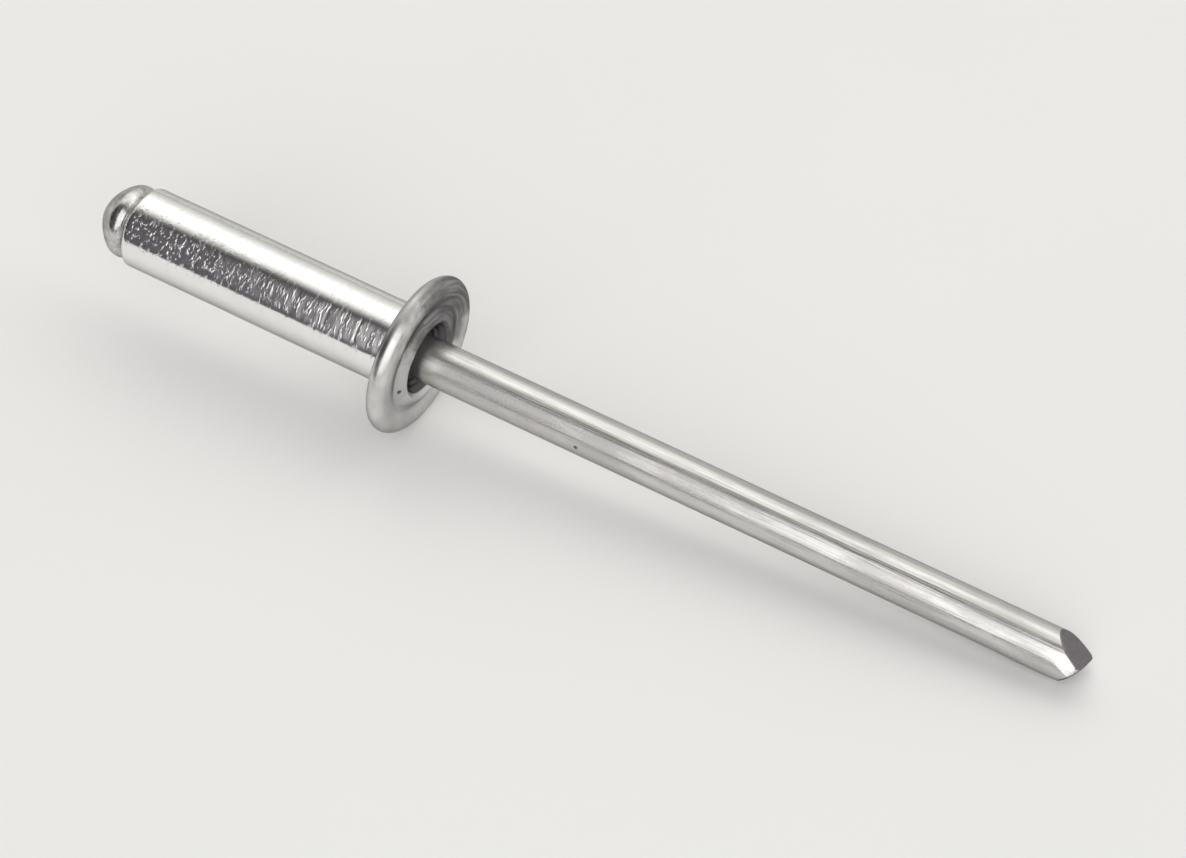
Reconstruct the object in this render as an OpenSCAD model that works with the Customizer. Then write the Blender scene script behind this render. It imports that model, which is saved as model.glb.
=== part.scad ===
// Open-end blind rivet, dome head, as supplied: an aluminium tubular rivet body
// on a steel pulling mandrel. It lies at rest on the rim of its flange and on
// the underside of the mandrel's point, so its axis leans a few degrees.
// All sizes in millimetres. Z is up, the floor is z = 0, +X runs along the
// mandrel, from the blind end of the body towards the mandrel's point.

/* [Body] */
// Outside diameter of the tubular shank
body_d = 3.2; // [3.05:0.01:3.28]
// Length of the shank, from the underside of the flange to the tail end
body_len = 11.9; // [10:0.1:14]
// Diameter of the bore that the mandrel runs through
bore_d = 1.86; // [1.8:0.01:2.0]
// Rounding of the tail end's outer corner
tail_round = 0.2; // [0.1:0.02:0.3]
// Radius of the fillet between shank and flange
neck_fillet = 0.12; // [0.08:0.02:0.2]

/* [Flange] */
// Outside diameter of the flange
flange_d = 6.33; // [5.8:0.01:6.7]
// Radius of the rounded flange rim
rim_r = 0.4; // [0.34:0.01:0.44]
// Diameter of the crease where the rim meets the dished face
crease_d = 4.5; // [4.4:0.02:4.7]
// Height of the crease above the underside
crease_z = 0.67; // [0.64:0.01:0.72]
// Diameter of the funnel mouth in the face
mouth_d = 2.94; // [2.7:0.02:3.1]
// Height of the lip of the mouth above the underside
lip_z = 0.93; // [0.86:0.01:0.98]
// Rounding of the lip of the mouth
lip_r = 0.14; // [0.1:0.01:0.18]
// Depth of the funnel below the lip
funnel_depth = 0.74; // [0.5:0.02:0.9]

/* [Mandrel] */
// Diameter of the drawn steel stem
stem_d = 1.74; // [1.7:0.01:1.74]
// Free length of the stem, from the underside of the flange to the point
stem_len = 27.62; // [26:0.02:30]
// Diameter of the mandrel's mushroom head
head_d = 2.92; // [2.8:0.02:3.0]
// Height of the head, from the tail end of the body to the crown
head_h = 1.52; // [1.44:0.02:1.6]
// Rounding of the head's rim
head_rim_r = 0.3; // [0.24:0.02:0.34]
// Diameter of the break neck just under the head
neck_d = 1.3; // [1.1:0.05:1.5]

/* [Point] */
// Slope of the upper broad pinch-cut face against the axis, in degrees
broad_angle = 36.5; // [30:0.5:42]
// Slope of the lower broad pinch-cut face against the axis, in degrees
lower_angle = 48; // [34:1:52]
// Slope of the narrow face at the far end of the chisel edge, in degrees
narrow_angle = 32; // [26:1:40]
// Reach of the chisel edge from the axis at that end
edge_long = 0.82; // [0.7:0.02:0.84]
// Slope of the squeezed face at the near end of the chisel edge, in degrees
squeeze_angle = 11; // [8:0.5:16]
// Length of the squeezed face, from the point down the stem
squeeze_len = 0.9; // [0.7:0.05:1.1]
// Turn of the squeezed face about the axis, away from straight down
squeeze_turn = 132; // [120:1:140]
// Turn of the lower broad face about the axis, away from straight down
point_turn = 31.5; // [25:0.5:38]

/* [Hidden] */
$fn = 96;

body_r = body_d / 2;
bore_r = bore_d / 2;
flange_r = flange_d / 2;
stem_r = stem_d / 2;
head_r = head_d / 2;
// the stem is drawn in by a hair where the body's grip ring holds it
grip_r = stem_r - 0.01;
grip_low = -1.6;
grip_high = -1.0;
// height of the ring where the flange is widest
rim_z = rim_r + 0.01;
// from its top the rim curves down more gently, to the edge of the crease
top_run = flange_r - rim_r - crease_d / 2 - 0.06;
top_drop = rim_z + rim_r - crease_z;
top_r = (top_run * top_run + top_drop * top_drop) / (2 * top_drop);
// the head seats with a 45 degree cone in the mouth of the bore at the tail
seat_r = bore_r + 0.15;
seat_z = -body_len;
seat_out_r = 1.2;
seat_out_z = seat_z - (seat_out_r - seat_r);
// outside the seat the underside of the head is flatter, up to the rounded rim
under_slope = 25;
rim_c_r = head_r - head_rim_r;
under_edge_r = rim_c_r + head_rim_r * sin(under_slope);
under_edge_z = seat_out_z - (under_edge_r - seat_out_r) * tan(under_slope);
rim_c_z = under_edge_z - head_rim_r * cos(under_slope);
crown_z = seat_z - head_h;
crown_r = 1.62;
// height of the break neck inside the body
neck_z = seat_z + 1.1;
// reach of a cutting block
big = 6;

// The rivet lies on the rim of the flange and on the stem's lowest line, which
// ends where the lower broad cut begins. The floor is the common tangent.
rest_z = stem_len - stem_r * cos(point_turn) / tan(lower_angle);
span_z = rest_z - rim_z;
span_r = flange_r - rim_r - stem_r;
lean = atan(span_r / span_z) + asin(rim_r / norm([span_z, span_r]));
// height of the axis above the floor, in the plane of the flange's underside
axis_h = rim_r + (flange_r - rim_r) * cos(lean) + rim_z * sin(lean);
// the box of the lying rivet runs from the crown of the head to the point
x_min = (crown_z + crown_r) * cos(lean) - crown_r;
edge_near = (stem_r - squeeze_len * tan(squeeze_angle)) / cos(squeeze_turn - 90 - point_turn);
x_max = stem_len * cos(lean) + edge_near * sin(point_turn) * sin(lean);

// Places a piece built along Z in its lying position
module lie() {
    translate([-(x_min + x_max) / 2, 0, axis_h])
        rotate([0, 90 + lean, 0])
            children();
}

// A ring-shaped corner to take off, so that what is left is a fillet of radius r
module corner_fillet(x, y, r, sx, sy) {
    difference() {
        translate([x + (sx < 0 ? -r : 0), y + (sy < 0 ? -r : 0)]) square([r, r]);
        translate([x + sx * r, y + sy * r]) circle(r = r);
    }
}

// Half section of the rivet body: X is the radius, Y the height above the
// underside of the flange
module body_section() {
    difference() {
        union() {
            // shank
            translate([0, -body_len]) square([body_r, body_len + 0.3]);
            // fillet under the flange
            corner_fillet(body_r, 0, neck_fillet, 1, -1);
            // flange: the dished face runs up from the crease to the lip
            polygon([
                [0, 0], [flange_r - rim_r - 0.3, 0], [flange_r - rim_r, rim_z - rim_r],
                [flange_r - rim_r, rim_z + rim_r],
                [crease_d / 2 + 0.06, crease_z], [crease_d / 2 - 0.06, crease_z],
                [mouth_d / 2 + lip_r, lip_z], [0, lip_z]
            ]);
            // rounded rim, and its gentler run down to the crease
            translate([flange_r - rim_r, rim_z]) circle(r = rim_r);
            intersection() {
                translate([flange_r - rim_r - top_run, 0.3]) square([top_run, 1]);
                translate([flange_r - rim_r, rim_z + rim_r - top_r]) circle(r = top_r);
            }
        }
        // bore, with the grip ring left standing below the funnel
        translate([-1, -body_len - 1]) square([1 + bore_r, body_len + 1 + grip_low]);
        translate([-1, -body_len - 1]) square([1 + grip_r, body_len + 4]);
        translate([-1, grip_high]) square([1 + bore_r, 4]);
        // funnel and its mouth
        polygon([
            [0, lip_z - funnel_depth], [bore_r, lip_z - funnel_depth],
            [mouth_d / 2 - 0.12, lip_z - 0.2], [mouth_d / 2, lip_z - lip_r],
            [mouth_d / 2, lip_z + 1], [0, lip_z + 1]
        ]);
        // rounded lip
        translate([0, lip_z - lip_r])
            difference() {
                translate([mouth_d / 2 - 0.01, 0]) square([lip_r + 0.01, lip_r + 0.5]);
                translate([mouth_d / 2 + lip_r, 0]) circle(r = lip_r);
            }
        // rounded outer corner of the tail
        corner_fillet(body_r, -body_len, tail_round, -1, 1);
        // cone in the tail's mouth, where the mandrel's head seats
        polygon([
            [0, seat_z - 0.2], [seat_r + 0.2, seat_z - 0.2],
            [bore_r, seat_z + seat_r - bore_r], [0, seat_z + seat_r - bore_r]
        ]);
        // shallow ring step on the underside of the flange
        translate([flange_r * 0.79, -1]) square([0.5, 1.035]);
    }
}

// Half section of the stem, with the stretch the grip ring holds, the break
// neck (a waist between two cones) and the short shoulder that runs into the head
module stem_section() {
    polygon([
        [0, stem_len], [stem_r, stem_len],
        [stem_r, lip_z + 0.07], [grip_r, grip_high], [grip_r, grip_low],
        [grip_r - 0.005, neck_z + 0.28], [neck_d / 2, neck_z + 0.05],
        [neck_d / 2, neck_z - 0.05], [stem_r, neck_z - 0.28],
        [stem_r, crown_z + 0.5], [0, crown_z + 0.5]
    ]);
}

// Half section of the head: seating cone, rounded rim and straight side
module head_section() {
    polygon([
        [0, seat_z + seat_r - stem_r], [stem_r, seat_z + seat_r - stem_r],
        [seat_out_r, seat_out_z], [under_edge_r, under_edge_z],
        [rim_c_r, rim_c_z], [head_r, rim_c_z],
        [head_r, crown_z - 0.1], [0, crown_z - 0.1]
    ]);
    translate([rim_c_r, rim_c_z]) circle(r = head_rim_r);
}

// A half-space block whose face passes through the line at radius off and
// height stem_len, sloping down the stem at the given angle to the axis
module cut_face(off, angle) {
    translate([off, 0, stem_len]) rotate([0, -angle, 0])
        translate([0, -big, -big]) cube([big, 2 * big, 2 * big]);
}

// The pinch-cut point: two broad faces that meet in a chisel edge, a narrow
// face that trims its far end and a squeezed one along its near end
module point_cuts() {
    rotate([0, 0, -point_turn]) {
        cut_face(0.01, lower_angle);
        mirror([1, 0, 0]) cut_face(0.01, broad_angle);
        rotate([0, 0, 90]) cut_face(edge_long, narrow_angle);
    }
    rotate([0, 0, -squeeze_turn])
        cut_face(stem_r - squeeze_len * tan(squeeze_angle), squeeze_angle);
}

// The aluminium rivet: tubular shank and flange, one cold-headed piece
module rivet_body() {
    color("#d6d6d2")
        lie() rotate_extrude() body_section();
}

// The steel pulling pin: head, break neck, stem and point, one piece
module mandrel() {
    color("#a3a2a0")
        lie() difference() {
            union() {
                rotate_extrude() stem_section();
                intersection() {
                    rotate_extrude() head_section();
                    translate([0, 0, crown_z + crown_r]) sphere(r = crown_r);
                }
            }
            point_cuts();
        }
}

rivet_body();
mandrel();
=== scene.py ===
"""Looks of the blind rivet: a bright aluminium body on a drawn steel mandrel, lying on a pale floor."""

import math

import bpy
import numpy as np
from mathutils import Matrix, Vector, noise


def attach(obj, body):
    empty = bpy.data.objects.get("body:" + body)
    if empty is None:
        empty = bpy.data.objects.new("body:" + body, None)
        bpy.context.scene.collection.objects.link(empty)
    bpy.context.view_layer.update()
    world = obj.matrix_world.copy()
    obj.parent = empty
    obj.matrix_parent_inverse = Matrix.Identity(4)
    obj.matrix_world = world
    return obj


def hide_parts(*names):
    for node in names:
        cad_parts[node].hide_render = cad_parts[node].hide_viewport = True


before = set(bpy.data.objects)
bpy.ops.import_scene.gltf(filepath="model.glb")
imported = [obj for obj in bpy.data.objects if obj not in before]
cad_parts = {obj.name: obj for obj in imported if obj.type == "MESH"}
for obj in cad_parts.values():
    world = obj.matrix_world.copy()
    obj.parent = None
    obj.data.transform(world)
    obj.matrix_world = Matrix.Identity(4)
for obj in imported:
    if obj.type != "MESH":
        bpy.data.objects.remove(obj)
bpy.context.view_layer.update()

MM = 0.001

# ---------------------------------------------------------------- sizes, in mm, as in the CAD model
BODY_R, BODY_LEN, BORE_R, GRIP_R = 1.6, 11.9, 0.93, 0.86
FLANGE_R, RIM_R = 3.165, 0.4
STEM_R, STEM_LEN = 0.87, 27.62
HEAD_R, HEAD_H = 1.46, 1.52
POINT_TURN, BROAD, LOWER, NARROW = (math.radians(a) for a in (31.5, 36.5, 48, 32))
EDGE_LONG, SQUEEZE, SQUEEZE_LEN, SQUEEZE_TURN = 0.82, math.radians(11), 0.9, math.radians(132)
EDGE_NEAR = (STEM_R - SQUEEZE_LEN * math.tan(SQUEEZE)) / math.cos(SQUEEZE_TURN - math.pi / 2 - POINT_TURN)
CROWN_Z = -BODY_LEN - HEAD_H

# the lying pose: on the rim of the flange and on the stem's lowest line
rim_z = RIM_R + 0.01
rest_z = STEM_LEN - STEM_R * math.cos(POINT_TURN) / math.tan(LOWER)
span_z, span_r = rest_z - rim_z, FLANGE_R - RIM_R - STEM_R
LEAN = math.atan(span_r / span_z) + math.asin(RIM_R / math.hypot(span_z, span_r))
AXIS_H = RIM_R + (FLANGE_R - RIM_R) * math.cos(LEAN) + rim_z * math.sin(LEAN)
x_min = (CROWN_Z + 1.62) * math.cos(LEAN) - 1.62
x_max = STEM_LEN * math.cos(LEAN) + EDGE_NEAR * math.sin(POINT_TURN) * math.sin(LEAN)
X0 = -(x_min + x_max) / 2
BETA = math.pi / 2 + LEAN
LIE = Matrix.Translation((X0 * MM, 0, AXIS_H * MM)) @ Matrix.Rotation(BETA, 4, "Y") @ Matrix.Scale(MM, 4)


# ---------------------------------------------------------------- small helpers
def smooth(a, b, x):
    t = np.clip((np.asarray(x, float) - a) / (b - a), 0, 1)
    return t * t * (3 - 2 * t)


def bump_at(x, centre, width):
    return np.exp(-(((np.asarray(x, float) - centre) / width) ** 2))


def line(p, q, step):
    n = max(1, int(math.ceil(math.dist(p, q) / step)))
    return [(p[0] + (q[0] - p[0]) * i / n, p[1] + (q[1] - p[1]) * i / n) for i in range(n)]


def arc(cx, cy, r, a0, a1, n):
    return [
        (cx + r * math.cos(math.radians(a0 + (a1 - a0) * i / n)), cy + r * math.sin(math.radians(a0 + (a1 - a0) * i / n)))
        for i in range(n)
    ]


def fbm(x, y, z, octaves=3):
    return sum(noise.noise((x * 2**o, y * 2**o, z * 2**o)) / 2**o for o in range(octaves))


def noise_field(x, y, z, sx, sy, sz, octaves=2, seed=0.0):
    """Smooth noise of about -1..1 at every point, with its own scale along each direction."""
    flat = np.stack([np.ravel(x) * sx + seed, np.ravel(y) * sy + 2 * seed, np.ravel(z) * sz - seed], 1)
    return np.array([fbm(a, b, c, octaves) for a, b, c in flat]).reshape(np.shape(x))


def build(name, verts, faces):
    me = bpy.data.meshes.new(name)
    me.from_pydata([tuple(v) for v in verts], [], faces)
    me.transform(LIE)
    me.validate()
    me.update()
    me.shade_smooth()
    ob = bpy.data.objects.new(name, me)
    bpy.context.scene.collection.objects.link(ob)
    return ob


# ---------------------------------------------------------------- the aluminium body
def body_profile():
    p = []
    p += line((BORE_R, -11.75), (1.08, -11.9), 0.05)
    p += line((1.08, -11.9), (1.4, -11.9), 0.04)
    p += arc(1.4, -11.7, 0.2, -90, 0, 9)
    p += line((1.6, -11.7), (1.6, -0.12), 0.056)
    p += arc(1.72, -0.12, 0.12, 180, 90, 6)
    p += line((1.72, 0.0), (2.48, 0.0), 0.055)
    p += line((2.48, 0.0), (2.53, 0.035), 0.03)
    p += line((2.53, 0.035), (2.88, 0.035), 0.05)
    p += arc(2.765, 0.41, 0.4, -70, 90, 38)
    p += arc(2.765, -0.617, 1.427, 90, 114.6, 20)
    p += line((2.17, 0.68), (2.08, 0.68), 0.03)
    p += line((2.08, 0.68), (1.88, 0.78), 0.03)
    p += line((1.88, 0.78), (1.61, 0.93), 0.03)
    p += arc(1.61, 0.79, 0.14, 90, 180, 9)
    p += line((1.47, 0.79), (1.35, 0.73), 0.035)
    p += line((1.35, 0.73), (BORE_R, 0.19), 0.035)
    p += line((BORE_R, 0.19), (BORE_R, -1.0), 0.1)
    p += line((BORE_R, -1.0), (GRIP_R, -1.0), 0.05)
    p += line((GRIP_R, -1.0), (GRIP_R, -1.6), 0.3)
    p += line((GRIP_R, -1.6), (BORE_R, -1.6), 0.05)
    p += line((BORE_R, -1.6), (BORE_R, -11.75), 1.2)
    return np.array(p)


def rivet_body():
    n = 240
    prof = body_profile()
    m = len(prof)
    # the profile is closed, so its normals and its smoothing wrap round
    r0, z0 = prof[:, 0].copy(), prof[:, 1].copy()
    face = (z0 > 0.5) & (r0 > 1.3)
    for _ in range(14):  # softens the crease and the rim's run-out on the face
        rs = (np.roll(r0, 1) + 2 * r0 + np.roll(r0, -1)) / 4
        zs = (np.roll(z0, 1) + 2 * z0 + np.roll(z0, -1)) / 4
        r0 = np.where(face, rs, r0)
        z0 = np.where(face, zs, z0)
    tr, tz = np.roll(r0, -1) - np.roll(r0, 1), np.roll(z0, -1) - np.roll(z0, 1)
    ln = np.hypot(tr, tz)
    nr, nz = tz / ln, -tr / ln  # outward, for a profile that runs up the outside
    ang = np.arange(n) * 2 * math.pi / n
    A, R = np.meshgrid(ang, r0, indexing="xy")
    _, Z = np.meshgrid(ang, z0, indexing="xy")
    ca, sa = np.cos(A), np.sin(A)
    x, y = R * ca, R * sa
    off = np.zeros_like(R)
    outer = (R > 1.3) & (Z < 0.0)
    shank = smooth(1.3, 1.38, R) * smooth(0.0, -0.25, Z)
    # long slow waves of a cold-headed wire, and ripples across the shank that grow towards the flange
    slow = noise_field(x, y, Z, 0.5, 0.5, 0.35, 2, 3.1)
    peel = noise_field(x, y, Z, 1.7, 1.7, 1.7, 2, 8.2)
    across = noise_field(x, y, Z, 0.55, 0.55, 3.2, 2, 5.4)
    near_flange = smooth(-9.5, -2.5, Z)
    off += shank * (0.004 * slow + 0.0022 * peel * (1 - 0.6 * near_flange) + 0.0024 * across * near_flange)
    # thin turned-looking rings left by the heading tool
    for zc, w, a in ((-1.55, 0.05, -0.006), (-2.9, 0.05, -0.004), (-5.2, 0.06, -0.003), (-8.6, 0.05, -0.003)):
        off += shank * a * bump_at(Z, zc, w) * (0.6 + 0.4 * np.sin(A * 1.0 + zc))
    # the flange: slightly uneven rim, rings on the dished face, step rings in the funnel
    fl = smooth(0.0, 0.1, Z) * smooth(1.9, 2.4, R)
    off += fl * (0.010 * noise_field(x, y, Z, 0.45, 0.45, 0.6, 2, 1.7) + 0.0015 * noise_field(x, y, Z, 2.2, 2.2, 2.2, 2, 4.4))
    dish = smooth(0.6, 0.66, Z) * smooth(2.2, 2.05, R) * smooth(1.5, 1.62, R)
    off += dish * (0.0026 * np.sin((R - 1.5) * 2 * math.pi / 0.115) + 0.003 * noise_field(x, y, Z, 1.1, 1.1, 1.1, 2, 9.4))
    fun = smooth(1.44, 1.40, R) * smooth(0.15, 0.25, Z)
    off += fun * 0.008 * np.sin((Z - 0.19) * 2 * math.pi / 0.18)
    # a small pit on the crease
    px, py = PIT_R * math.cos(PIT_A), PIT_R * math.sin(PIT_A)
    pit = np.exp(-(((x - px) ** 2 + (y - py) ** 2) / 0.075**2)) * (Z > 0.4)
    off -= 0.06 * pit
    rr = R + off * nr[:, None]
    zz = Z + off * nz[:, None]
    # the flange sits a hair out of square
    zz = zz + smooth(1.62, 2.0, R) * (Z > -0.2) * math.tan(math.radians(FLANGE_TILT)) * (R - 1.6) * np.cos(A - FLANGE_DIR)
    verts = np.stack([rr * ca, rr * sa, zz], -1).reshape(-1, 3)
    faces = []
    for i in range(m):
        a, b = i * n, ((i + 1) % m) * n
        for j in range(n):
            k = (j + 1) % n
            faces.append((a + j, a + k, b + k, b + j))
    return build("rivet_body_bright", verts, faces)


# ---------------------------------------------------------------- the steel mandrel
def roof(x, y):
    """Height of the pinch-cut point over a place on the stem's section: four cut planes, their edges just broken."""
    c, s = math.cos(POINT_TURN), math.sin(POINT_TURN)
    u, w = x * c - y * s, x * s + y * c
    kn = 1 / math.tan(NARROW)
    near = x * math.cos(SQUEEZE_TURN) - y * math.sin(SQUEEZE_TURN)
    planes = [
        STEM_LEN - (u - 0.01) / math.tan(LOWER),
        STEM_LEN + (u + 0.01) / math.tan(BROAD),
        STEM_LEN - (w - EDGE_LONG) * kn,
        STEM_LEN - SQUEEZE_LEN + (STEM_R - near) / math.tan(SQUEEZE),
        STEM_LEN + 0.05 - 0.20 * (w - 0.25) ** 2,
    ]
    k = 0.012
    return -k * np.log(sum(np.exp(-p / k) for p in [q - STEM_LEN for q in planes])) + STEM_LEN


def head_profile():
    """From the crown to the stem, outside only."""
    p = []
    a_side = math.degrees(math.asin(1.44 / 1.62))
    p += [(1.62 * math.sin(math.radians(a)), -11.80 - 1.62 * math.cos(math.radians(a))) for a in np.linspace(0.9, a_side, 44)]
    p += line((1.445, -12.50), (1.46, -12.34), 0.04)
    p += arc(1.16, -12.3324, 0.3, 0, 65, 12)
    p += line((1.2868, -12.0605), (1.2, -12.02), 0.04)
    p += line((1.2, -12.02), (STEM_R, -11.69), 0.06)
    return p


def mandrel():
    n = 208
    p = head_profile()
    n_head = len(p)
    p += line((STEM_R, -11.69), (STEM_R, -11.08), 0.3)
    p += line((STEM_R, -11.08), (0.65, -10.85), 0.1)
    p += line((0.65, -10.85), (0.65, -10.75), 0.1)
    p += line((0.65, -10.75), (0.855, -10.52), 0.1)
    p += line((0.855, -10.52), (GRIP_R, -1.6), 1.2)
    p += line((GRIP_R, -1.6), (GRIP_R, -1.0), 0.3)
    p += line((GRIP_R, -1.0), (STEM_R, 1.0), 0.2)
    p += line((STEM_R, 1.0), (STEM_R, 7.4), 0.13)
    p += line((STEM_R, 7.4), (STEM_R, 7.9), 0.03)
    p += line((STEM_R, 7.9), (STEM_R, 25.2), 0.13)
    prof = np.array(p)
    r0, z0 = prof[:, 0].copy(), prof[:, 1].copy()
    crown = np.arange(len(r0)) < n_head - 8
    for _ in range(6):
        rs = np.r_[r0[0], (r0[:-2] + 2 * r0[1:-1] + r0[2:]) / 4, r0[-1]]
        zs = np.r_[z0[0], (z0[:-2] + 2 * z0[1:-1] + z0[2:]) / 4, z0[-1]]
        r0, z0 = np.where(crown, rs, r0), np.where(crown, zs, z0)
    ang = np.arange(n) * 2 * math.pi / n
    ca, sa = np.cos(ang), np.sin(ang)
    edge = roof(STEM_R * ca, STEM_R * sa)
    top = 22
    t = np.linspace(0, 1, top + 1)[:, None]
    Z = np.vstack([np.repeat(z0[:, None], n, 1), 25.2 + (edge[None, :] - 25.2) * t])
    R = np.vstack([np.repeat(r0[:, None], n, 1), np.full((top + 1, n), STEM_R)])
    A = np.repeat(ang[None, :], len(R), 0)
    x, y = R * np.cos(A), R * np.sin(A)
    off = np.zeros_like(R)
    stem = smooth(0.2, 1.2, Z) * smooth(0.9, 0.86, np.minimum(R, 0.9) + 0.0)
    stem = smooth(0.2, 1.2, Z)
    # slow waves of a straightened wire, and draw lines along it
    off += stem * (0.004 * noise_field(x, y, Z, 0.7, 0.7, 0.16, 2, 2.3) + 0.0011 * noise_field(x, y, Z, 5.5, 5.5, 0.10, 2, 6.1))
    # the cutter leaves the last stretch a little swollen on its lower side
    off += BULGE * smooth(23.9, 25.7, Z) * (0.5 + 0.5 * np.cos(A - BULGE_A)) ** 1.5
    # the squeezed face at the near side runs out softly into the round
    below = edge[None, :] - Z
    turn = (A + SQUEEZE_TURN + math.pi) % (2 * math.pi) - math.pi
    off -= 0.012 * np.exp(-np.clip(below, 0, 9) / 0.12) * np.exp(-((turn / 0.4) ** 2)) * (Z > 20)
    # the lower edge is pressed round
    turn = (A + math.radians(35) + math.pi) % (2 * math.pi) - math.pi
    off -= 0.030 * np.exp(-np.clip(below, 0, 9) / 0.14) * np.exp(-((turn / 0.75) ** 2)) * (Z > 20)
    # a nick in the stem
    d2 = (((A - NICK_A + math.pi) % (2 * math.pi) - math.pi) * STEM_R) ** 2 + (Z - NICK_Z) ** 2
    off -= 0.035 * np.exp(-d2 / 0.07**2)
    # the head is a little uneven, with a low nub on its crown
    head = (Z < -12.05)
    off += head * (0.010 * noise_field(x, y, Z, 0.9, 0.9, 0.9, 2, 7.7) + 0.002 * noise_field(x, y, Z, 3.1, 3.1, 3.1, 2, 1.2))
    dirs = np.zeros_like(Z)
    slope = np.clip((-12.5 - Z) / 0.92, 0, 1)
    dirs = np.where(head, -slope, 0.0)
    rr = R + off * np.sqrt(1 - dirs**2)
    zz = Z + off * dirs
    nub = 0.088 * np.exp(-(((R * np.cos(A) - NUB[0]) ** 2 + (R * np.sin(A) - NUB[1]) ** 2) / 0.58**2)) * (Z < -12.6)
    zz = zz - nub
    side = np.stack([rr * np.cos(A), rr * np.sin(A), zz], -1)
    rows = len(side)
    # the end: the four cut faces, as a fine net over the section
    cap = 40
    verts = [side.reshape(-1, 3)]
    last_r = rr[-1]
    for i in range(1, cap):
        f = 1 - (i / cap) ** 0.92
        cx, cy = last_r * f * ca, last_r * f * sa
        h = roof(cx, cy)
        c, s = math.cos(POINT_TURN), math.sin(POINT_TURN)
        w = cx * s + cy * c
        u = cx * c - cy * s
        marks = 0.0035 * np.sin(w * 2 * math.pi / 0.13 + 1.3 * np.sin(u * 5)) * smooth(0.02, 0.2, 1 - f)
        marks = marks + 0.004 * np.array([noise.noise((a * 4, b * 4, 0.3)) for a, b in zip(cx, cy)])
        verts.append(np.stack([cx, cy, h + marks], -1))
    verts = np.vstack(verts)
    tip = len(verts)
    crown_i = tip + 1
    verts = np.vstack([verts, [[0, 0, float(roof(np.array(0.0), np.array(0.0)))]], [[0, 0, float(zz[0].mean()) - 0.001]]])
    faces = []
    for i in range(rows + cap - 2):
        a, b = i * n, (i + 1) * n
        for j in range(n):
            k = (j + 1) % n
            faces.append((a + j, a + k, b + k, b + j))
    a = (rows + cap - 2) * n
    for j in range(n):
        k = (j + 1) % n
        faces.append((a + j, a + k, tip))
        faces.append((k, j, crown_i))
    return build("mandrel_drawn", verts, faces)


# places on the real piece's surface, in the piece's own frame
PIT_A, PIT_R = math.radians(-91), 1.87
NICK_A, NICK_Z = math.radians(-98.6), 7.64
FLANGE_TILT, FLANGE_DIR = 3.0, math.radians(132)
BULGE, BULGE_A = 0.02, math.radians(-48)
NUB = (-0.15, -0.15)
# direction of the painted dark reflections on the upper side of the flange's face
DARK_REFLECTION_A = 135.0

# the surround: brightness by height, over SKY_GAIN, and the front box
SKY_GAIN, BOX = 1.45, 1.62
SKY = (
    (-20, (0.062, 0.056, 0.064)),
    (10, (0.062, 0.056, 0.064)),
    (66, (0.050, 0.046, 0.052)),
    (83, (0.055, 0.051, 0.056)),
    (89, (0.15, 0.147, 0.147)),
    (95, (0.37, 0.365, 0.355)),
    (101, (0.61, 0.605, 0.585)),
    (107, (0.76, 0.755, 0.725)),
    (115, (0.90, 0.895, 0.86)),
    (126, (1.0, 0.995, 0.955)),
    (134, (0.95, 0.945, 0.91)),
    (142, (0.78, 0.775, 0.75)),
    (156, (0.56, 0.555, 0.54)),
    (175, (0.40, 0.395, 0.385)),
    (200, (0.29, 0.285, 0.28)),
)

body = rivet_body()
stem = mandrel()


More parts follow.
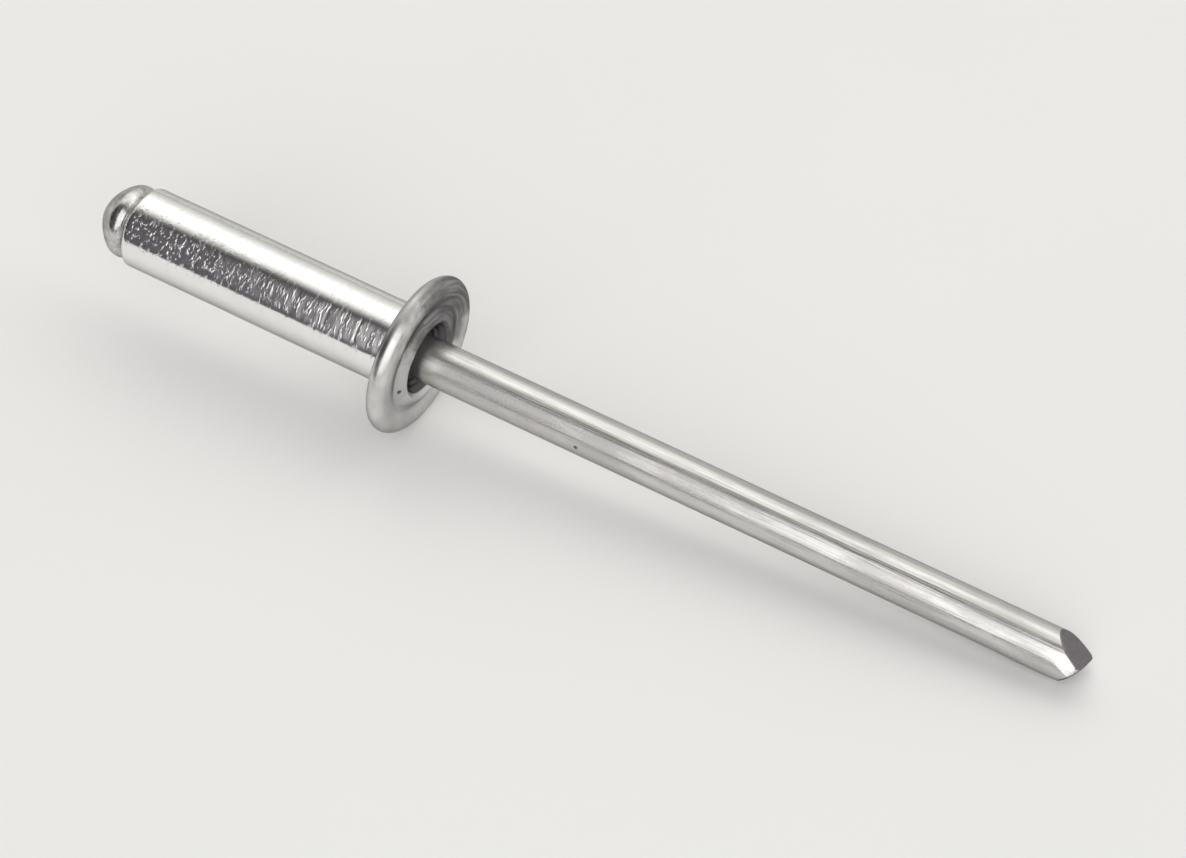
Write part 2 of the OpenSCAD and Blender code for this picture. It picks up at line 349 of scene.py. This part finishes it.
# ---------------------------------------------------------------- materials
class Nodes:
    """Thin wrapper that makes and links shader nodes."""

    def __init__(self, name):
        self.mat = bpy.data.materials.new(name)
        self.mat.use_nodes = True
        self.t = self.mat.node_tree
        self.t.nodes.clear()
        self.out = self.t.nodes.new("ShaderNodeOutputMaterial")

    def new(self, kind, **sets):
        nd = self.t.nodes.new("ShaderNode" + kind)
        for k, v in sets.items():
            setattr(nd, k, v)
        return nd

    def put(self, nd, key, value):
        s = nd.inputs[key]
        if hasattr(value, "is_output") or isinstance(value, bpy.types.NodeSocket):
            self.t.links.new(value, s)
        else:
            s.default_value = value

    def math(self, op, a, b=0.0, c=None, clamp=False):
        nd = self.new("Math", operation=op, use_clamp=clamp)
        self.put(nd, 0, a)
        self.put(nd, 1, b)
        if c is not None:
            self.put(nd, 2, c)
        return nd.outputs[0]

    def range(self, v, a, b, lo=0.0, hi=1.0, kind="SMOOTHSTEP"):
        nd = self.new("MapRange", interpolation_type=kind)
        for k, x in (("Value", v), ("From Min", a), ("From Max", b), ("To Min", lo), ("To Max", hi)):
            self.put(nd, k, x)
        return nd.outputs["Result"]

    def local(self):
        """Coordinates in the piece's own frame, in mm: z runs along the axis, x points at the floor."""
        tc = self.new("TexCoord")
        mp = self.new("Mapping", vector_type="TEXTURE")
        self.put(mp, "Vector", tc.outputs["Object"])
        mp.inputs["Location"].default_value = (X0 * MM, 0, AXIS_H * MM)
        mp.inputs["Rotation"].default_value = (0, BETA, 0)
        mp.inputs["Scale"].default_value = (MM, MM, MM)
        return mp.outputs["Vector"]

    def split(self, v):
        nd = self.new("SeparateXYZ")
        self.put(nd, 0, v)
        return nd.outputs

    def stretched(self, v, sx, sy, sz, shift=0.0):
        nd = self.new("Mapping", vector_type="POINT")
        self.put(nd, "Vector", v)
        nd.inputs["Scale"].default_value = (sx, sy, sz)
        nd.inputs["Location"].default_value = (shift, -shift, 2 * shift)
        return nd.outputs["Vector"]

    def noise(self, v, scale, detail=2.0, rough=0.5, distort=0.0):
        nd = self.new("TexNoise")
        self.put(nd, "Vector", v)
        for k, x in (("Scale", scale), ("Detail", detail), ("Roughness", rough), ("Distortion", distort)):
            nd.inputs[k].default_value = x
        return nd.outputs["Fac"]

    def distance(self, v, p):
        nd = self.new("VectorMath", operation="DISTANCE")
        self.put(nd, 0, v)
        nd.inputs[1].default_value = p
        return nd.outputs["Value"]

    def new_arcs(self, r, ang):
        """A field drawn out round the axis: fine across the radius, long round the ring."""
        nd = self.new("CombineXYZ")
        self.put(nd, "X", self.math("MULTIPLY", r, 7.0))
        self.put(nd, "Y", self.math("MULTIPLY", ang, 0.02))
        return nd.outputs[0]

    def mix(self, f, a, b):
        """a where f is 0, b where f is 1, as numbers."""
        nd = self.new("Mix", data_type="FLOAT")
        self.put(nd, "Factor", f)
        self.put(nd, "A", a)
        self.put(nd, "B", b)
        return nd.outputs["Result"]

    def colour(self, f, a, b):
        nd = self.new("Mix", data_type="RGBA")
        self.put(nd, 0, f)
        for s, val in ((nd.inputs[6], a), (nd.inputs[7], b)):
            if isinstance(val, bpy.types.NodeSocket):
                self.t.links.new(val, s)
            else:
                s.default_value = (*val, 1)
        return nd.outputs[2]

    def bump(self, height, strength, distance_mm, normal=None):
        nd = self.new("Bump")
        nd.inputs["Strength"].default_value = strength
        nd.inputs["Distance"].default_value = distance_mm * MM
        self.put(nd, "Height", height)
        if normal is not None:
            self.put(nd, "Normal", normal)
        return nd.outputs["Normal"]

    def metal(self, base, rough, normal, aniso=0.0, edge=(0.45, 0.44, 0.45)):
        b = self.new("BsdfPrincipled")
        b.inputs["Metallic"].default_value = 1.0
        self.put(b, "Base Color", base)
        self.put(b, "Roughness", rough)
        self.put(b, "Normal", normal)
        b.inputs["Anisotropic"].default_value = aniso
        # the grey edge tint darkens reflections at grazing angles: painted shade along the outlines
        b.inputs["Specular Tint"].default_value = (*edge, 1)
        self.t.links.new(b.outputs[0], self.out.inputs["Surface"])
        return b


def radius(k, xyz):
    return k.math("SQRT", k.math("ADD", k.math("MULTIPLY", xyz[0], xyz[0]), k.math("MULTIPLY", xyz[1], xyz[1])))


def aluminium():
    k = Nodes("aluminium_bright")
    v = k.local()
    xyz = k.split(v)
    z = xyz["Z"]
    r = radius(k, xyz)
    on_flange = k.range(z, -0.12, 0.05)
    near_flange = k.range(z, -9.5, -3.0)
    # fine mottle at the tail end, short ripples across the shank towards the flange
    mottle = k.range(k.noise(k.stretched(v, 0.85, 0.85, 1.0, 3.0), 6.4, 2.0, 0.55), 0.50, 0.80)
    ripple = k.range(k.noise(k.stretched(v, 0.36, 0.36, 1.0, 7.0), 7.4, 2.0, 0.55), 0.50, 0.82)
    relief = k.mix(near_flange, mottle, ripple)
    amount = k.mix(on_flange, relief, k.math("MULTIPLY", k.noise(v, 3.0, 3.0, 0.6), 0.9))
    normal = k.bump(amount, 1.0, 0.0056)
    rings = k.math("SINE", k.math("MULTIPLY", r, 46.0))
    face = k.math("MULTIPLY", k.math("MULTIPLY", on_flange, k.range(z, 0.58, 0.66)), k.range(r, 2.2, 2.08))
    normal = k.bump(k.math("MULTIPLY", k.math("MULTIPLY", rings, 0.5), face), 0.5, 0.0012, normal)
    speck = k.range(relief, 0.05, 0.4)
    uneven = k.range(k.noise(v, 1.6, 3.0, 0.6), 0.35, 0.65, 0.28, 0.40)
    rough = k.mix(on_flange, k.mix(speck, 0.12, 0.25), k.mix(face, uneven, 0.36))
    stain = k.range(k.noise(k.stretched(v, 1, 1, 1, 11.0), 0.9, 4.0, 0.6), 0.38, 0.62)
    bright = k.colour(k.math("MULTIPLY", stain, 0.5), (0.93, 0.93, 0.915), (0.87, 0.87, 0.86))
    rim = k.colour(stain, (0.74, 0.735, 0.72), (0.62, 0.61, 0.605))
    # the dished face gets a darker grey: painted shade, standing in for dim reflections of the surroundings
    face_shade_grey = k.colour(stain, (0.74, 0.73, 0.72), (0.60, 0.59, 0.59))
    base = k.colour(k.math("MULTIPLY", on_flange, k.range(z, 0.0, 0.15)), bright, rim)
    base = k.colour(k.math("MULTIPLY", on_flange, k.math("MULTIPLY", k.range(z, 0.58, 0.66), k.range(r, 2.35, 2.1))), base, face_shade_grey)
    # painted shade: the crease is darkened a little, and the upper side of the face is painted dark in patches,
    # standing in for dim reflections of the surroundings
    crease = k.math("MULTIPLY", k.math("MULTIPLY", k.range(r, 2.02, 2.16), k.range(r, 2.42, 2.18)), on_flange)
    base = k.colour(k.math("MULTIPLY", crease, 0.16), base, (0.30, 0.29, 0.295))
    ang = k.math("MULTIPLY", k.math("ARCTAN2", xyz["Y"], xyz["X"]), 180 / math.pi)
    off_dir = k.math("ABSOLUTE", k.math("SUBTRACT", k.math("FLOORED_MODULO", k.math("ADD", ang, 180.0 - DARK_REFLECTION_A), 360.0), 180.0))
    edge = k.math("MULTIPLY", k.math("SUBTRACT", k.noise(k.stretched(v, 1, 1, 1, 21.0), 1.3, 4.0, 0.6), 0.5), 130.0)
    face_dark_reflection = k.range(k.math("ADD", off_dir, edge), 100.0, 66.0)
    face_dark_reflection = k.math("MULTIPLY", k.math("MULTIPLY", face_dark_reflection, k.range(z, 0.30, 0.60)), on_flange)
    # on the rim itself only a patch is painted dark, a painted reflection
    patch = k.range(k.math("ADD", off_dir, k.math("MULTIPLY", edge, 0.5)), 76.0, 30.0)
    face_dark_reflection = k.math("MULTIPLY", face_dark_reflection, k.mix(k.range(r, 2.2, 2.6), 0.95, k.math("MULTIPLY", patch, 0.9)))
    # the painted dark reflections are broken into arcs round the axis
    arcs = k.noise(k.new_arcs(r, ang), 1.0, 3.0, 0.6)
    face_dark_reflection = k.math("MULTIPLY", face_dark_reflection, k.range(arcs, 0.36, 0.60, 0.70, 1.0))
    base = k.colour(face_dark_reflection, base, (0.145, 0.135, 0.143))
    # painted shade: the funnel and bore are darkened
    inside = k.range(r, 1.46, 1.38)
    base = k.colour(k.math("MULTIPLY", inside, on_flange), base, (0.115, 0.11, 0.115))
    # painted shade: the pit on the crease is darkened
    pit = k.distance(v, (PIT_R * math.cos(PIT_A), PIT_R * math.sin(PIT_A), 0.765))
    base = k.colour(k.range(pit, 0.13, 0.06), base, (0.13, 0.125, 0.13))
    k.metal(base, rough, normal)
    return k.mat


def steel():
    k = Nodes("steel_drawn")
    v = k.local()
    xyz = k.split(v)
    z = xyz["Z"]
    r = radius(k, xyz)
    on_head = k.range(z, -11.9, -12.0)
    lines = k.noise(k.stretched(v, 1, 1, 0.012, 2.0), 13.0, 3.0, 0.65)
    broad_lines = k.noise(k.stretched(v, 1, 1, 0.02, 5.0), 4.0, 2.0, 0.55)
    grain = k.noise(v, 9.0, 3.0, 0.6)
    along = k.math("ADD", lines, k.math("MULTIPLY", broad_lines, 0.7))
    height = k.mix(on_head, k.math("ADD", along, k.math("MULTIPLY", grain, 0.12)), k.math("MULTIPLY", grain, 0.3))
    normal = k.bump(height, 0.9, 0.012)
    c, s = math.cos(POINT_TURN), math.sin(POINT_TURN)
    # the cut faces are those inside the stem's radius, near the end
    u = k.math("SUBTRACT", k.math("MULTIPLY", xyz["X"], c), k.math("MULTIPLY", xyz["Y"], s))
    # how far a place lies under each of the two broad cuts
    low_gap = k.math("SUBTRACT", k.math("SUBTRACT", STEM_LEN, k.math("MULTIPLY", u, 1 / math.tan(LOWER))), z)
    up_gap = k.math("SUBTRACT", k.math("ADD", k.math("MULTIPLY", u, 1 / math.tan(BROAD)), STEM_LEN), z)
    cut = k.math("MULTIPLY", k.range(k.math("MINIMUM", low_gap, up_gap), 0.075, 0.045), k.range(z, 26.2, 26.3))
    cloud = k.noise(k.stretched(v, 1, 1, 0.25, 9.0), 1.3, 4.0, 0.6)
    bright = k.colour(k.range(cloud, 0.4, 0.62), (0.70, 0.69, 0.675), (0.60, 0.59, 0.575))
    bright = k.colour(k.range(lines, 0.46, 0.70, 0.0, 0.35), bright, (0.42, 0.41, 0.40))
    # only the broad faces are dull; the squeezed one at the near side stays bright
    base = k.colour(cut, bright, k.colour(k.range(grain, 0.4, 0.6), (0.265, 0.25, 0.262), (0.225, 0.21, 0.222)))
    rough = k.mix(cut, k.range(cloud, 0.38, 0.64, 0.19, 0.29), 0.42)
    rough = k.mix(on_head, rough, k.range(grain, 0.35, 0.65, 0.16, 0.30))
    crown = k.range(k.noise(k.stretched(v, 1, 1, 1, 31.0), 1.7, 4.0, 0.65), 0.42, 0.60)
    base = k.colour(on_head, base, k.colour(crown, (0.76, 0.75, 0.735), (0.52, 0.51, 0.51)))
    # painted shade: the nick is darkened
    nick = k.distance(v, (STEM_R * math.cos(NICK_A), STEM_R * math.sin(NICK_A), NICK_Z))
    base = k.colour(k.range(nick, 0.11, 0.05), base, (0.16, 0.155, 0.155))
    k.metal(base, rough, normal, 0.0)
    return k.mat


body.data.materials.append(aluminium())
stem.data.materials.append(steel())

for piece, node, slot in ((body, "rivet_body", "body"), (stem, "mandrel", "stem")):
    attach(piece, "root")
    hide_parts(node)


# ---------------------------------------------------------------- floor, light and camera
def floor():
    me = bpy.data.meshes.new("floor")
    s = 1.2
    me.from_pydata([(-s, -s, 0), (s, -s, 0), (s, s, 0), (-s, s, 0)], [], [(0, 1, 2, 3)])
    ob = bpy.data.objects.new("floor", me)
    bpy.context.scene.collection.objects.link(ob)
    ob.location.z = -0.00002
    k = Nodes("floor_pale")
    b = k.new("BsdfPrincipled")
    tc = k.new("TexCoord")
    f = k.noise(tc.outputs["Object"], 40.0, 2.0, 0.5)
    k.put(b, "Base Color", k.colour(k.range(f, 0.4, 0.6), (0.905, 0.905, 0.90), (0.915, 0.915, 0.91)))
    b.inputs["Roughness"].default_value = 0.75
    b.inputs["Specular IOR Level"].default_value = 0.2
    k.t.links.new(b.outputs[0], k.out.inputs["Surface"])
    me.materials.append(k.mat)


def studio():
    """A product tent: a bright band overhead, fading to the back, a darker room in front and at the left, and one soft box low at the front right."""
    w = bpy.data.worlds.new("studio")
    bpy.context.scene.world = w
    w.use_nodes = True
    t = w.node_tree
    t.nodes.clear()

    def node(kind, **sets):
        nd = t.nodes.new("ShaderNode" + kind)
        for k, v in sets.items():
            setattr(nd, k, v)
        return nd

    def math_node(op, a, b=0.0, clamp=False):
        nd = node("Math", operation=op, use_clamp=clamp)
        for i, v in enumerate((a, b)):
            if isinstance(v, bpy.types.NodeSocket):
                t.links.new(v, nd.inputs[i])
            else:
                nd.inputs[i].default_value = v
        return nd.outputs[0]

    def step(v, a, b, lo=0.0, hi=1.0):
        nd = node("MapRange", interpolation_type="SMOOTHSTEP")
        t.links.new(v, nd.inputs["Value"])
        for k, x in (("From Min", a), ("From Max", b), ("To Min", lo), ("To Max", hi)):
            nd.inputs[k].default_value = x
        return nd.outputs["Result"]

    tc = node("TexCoord")
    sep = node("SeparateXYZ")
    t.links.new(tc.outputs["Generated"], sep.inputs[0])
    vx, vy, vz = sep.outputs
    # height round the rivet's length: 0 at the front horizon, 90 overhead, 180 at the back horizon
    el = math_node("ARCTAN2", vz, math_node("MULTIPLY", vy, -1.0))
    el = math_node("MULTIPLY", el, 180 / math.pi)
    along = math_node("SUBTRACT", math_node("MULTIPLY", vx, math.cos(LEAN)), math_node("MULTIPLY", vz, math.sin(LEAN)))
    lo, hi = -20.0, 200.0
    ramp = node("ValToRGB")
    ramp.color_ramp.interpolation = "LINEAR"
    t.links.new(math_node("DIVIDE", math_node("SUBTRACT", el, lo), hi - lo), ramp.inputs["Fac"])
    stops = SKY
    els = ramp.color_ramp.elements
    while len(els) < len(stops):
        els.new(0.5)
    for i, (deg, c) in enumerate(sorted(stops)):
        els[i].position = (deg - lo) / (hi - lo)
        els[i].color = (*c, 1)
    left = step(vx, -0.92, -0.46, 0.55, 1.0)
    box = math_node("MULTIPLY", math_node("MULTIPLY", step(el, 2.0, 20.0), step(el, 84.0, 64.0)), step(along, -0.42, -0.21))
    box = math_node("MULTIPLY", math_node("MULTIPLY", box, step(along, 0.92, 0.80)), BOX)
    bg = node("Background")
    t.links.new(ramp.outputs["Color"], bg.inputs["Color"])
    t.links.new(math_node("MULTIPLY", left, SKY_GAIN), bg.inputs["Strength"])
    front = node("Background")
    front.inputs["Color"].default_value = (1.0, 0.995, 0.98, 1)
    t.links.new(box, front.inputs["Strength"])
    add = node("AddShader")
    t.links.new(bg.outputs[0], add.inputs[0])
    t.links.new(front.outputs[0], add.inputs[1])
    out = node("OutputWorld")
    t.links.new(add.outputs[0], out.inputs["Surface"])


def camera():
    f_px, k = 2200.0, 1.65
    p0 = Vector((-20.5851, -10.4767, -132.033))
    d = Vector((0.8911, -0.3731, 0.2582)).normalized()
    s = -math.sin(LEAN)
    e = math.asin(0)
    # the camera's elevation makes the axis lean by LEAN
    lo, hi = math.radians(20), math.radians(70)
    g = lambda a: d.y * math.cos(a) + d.z * math.sin(a) - s
    for _ in range(60):
        mid = (lo + hi) / 2
        if (g(lo) < 0) == (g(mid) < 0):
            lo = mid
        else:
            hi = mid
    e = (lo + hi) / 2
    up = Vector((0, math.cos(e), math.sin(e)))
    xw = ((d + math.sin(LEAN) * up) / math.cos(LEAN)).normalized()
    yw = up.cross(xw)
    to_world = Matrix((xw, yw, up))  # rows: world axes in the camera's frame
    w0 = Vector((X0 + 0.17 * math.cos(LEAN), 0, AXIS_H - 0.17 * math.sin(LEAN)))
    pos = w0 - to_world @ p0
    # aim at the middle of the rivet's picture, without turning the camera about its view
    aim = Vector((0.0, 0.0, 1.0))
    ends = [Vector(((x - 593) / f_px, -(y - 429) / f_px, -1)).normalized() for x, y in ((56, 500), (666, 801))]
    mid = Vector((0.5 * (56 + 666) - 593, -(0.5 * (500 + 801) - 429), -f_px)).normalized()
    q = Vector((0, 0, -1)).rotation_difference(mid)
    cam = bpy.data.cameras.new("camera")
    cam.sensor_width = 36
    cam.lens = 36 * f_px * k / 1186
    cam.clip_start, cam.clip_end = 0.005, 10
    ob = bpy.data.objects.new("camera", cam)
    bpy.context.scene.collection.objects.link(ob)
    rot = to_world @ q.to_matrix()
    ob.matrix_world = Matrix.Translation(pos * MM) @ rot.to_4x4()
    bpy.context.scene.camera = ob
    print("camera elevation", math.degrees(e), "pos", pos[:])


floor()
studio()
camera()
bpy.context.scene.view_settings.view_transform = "Standard"
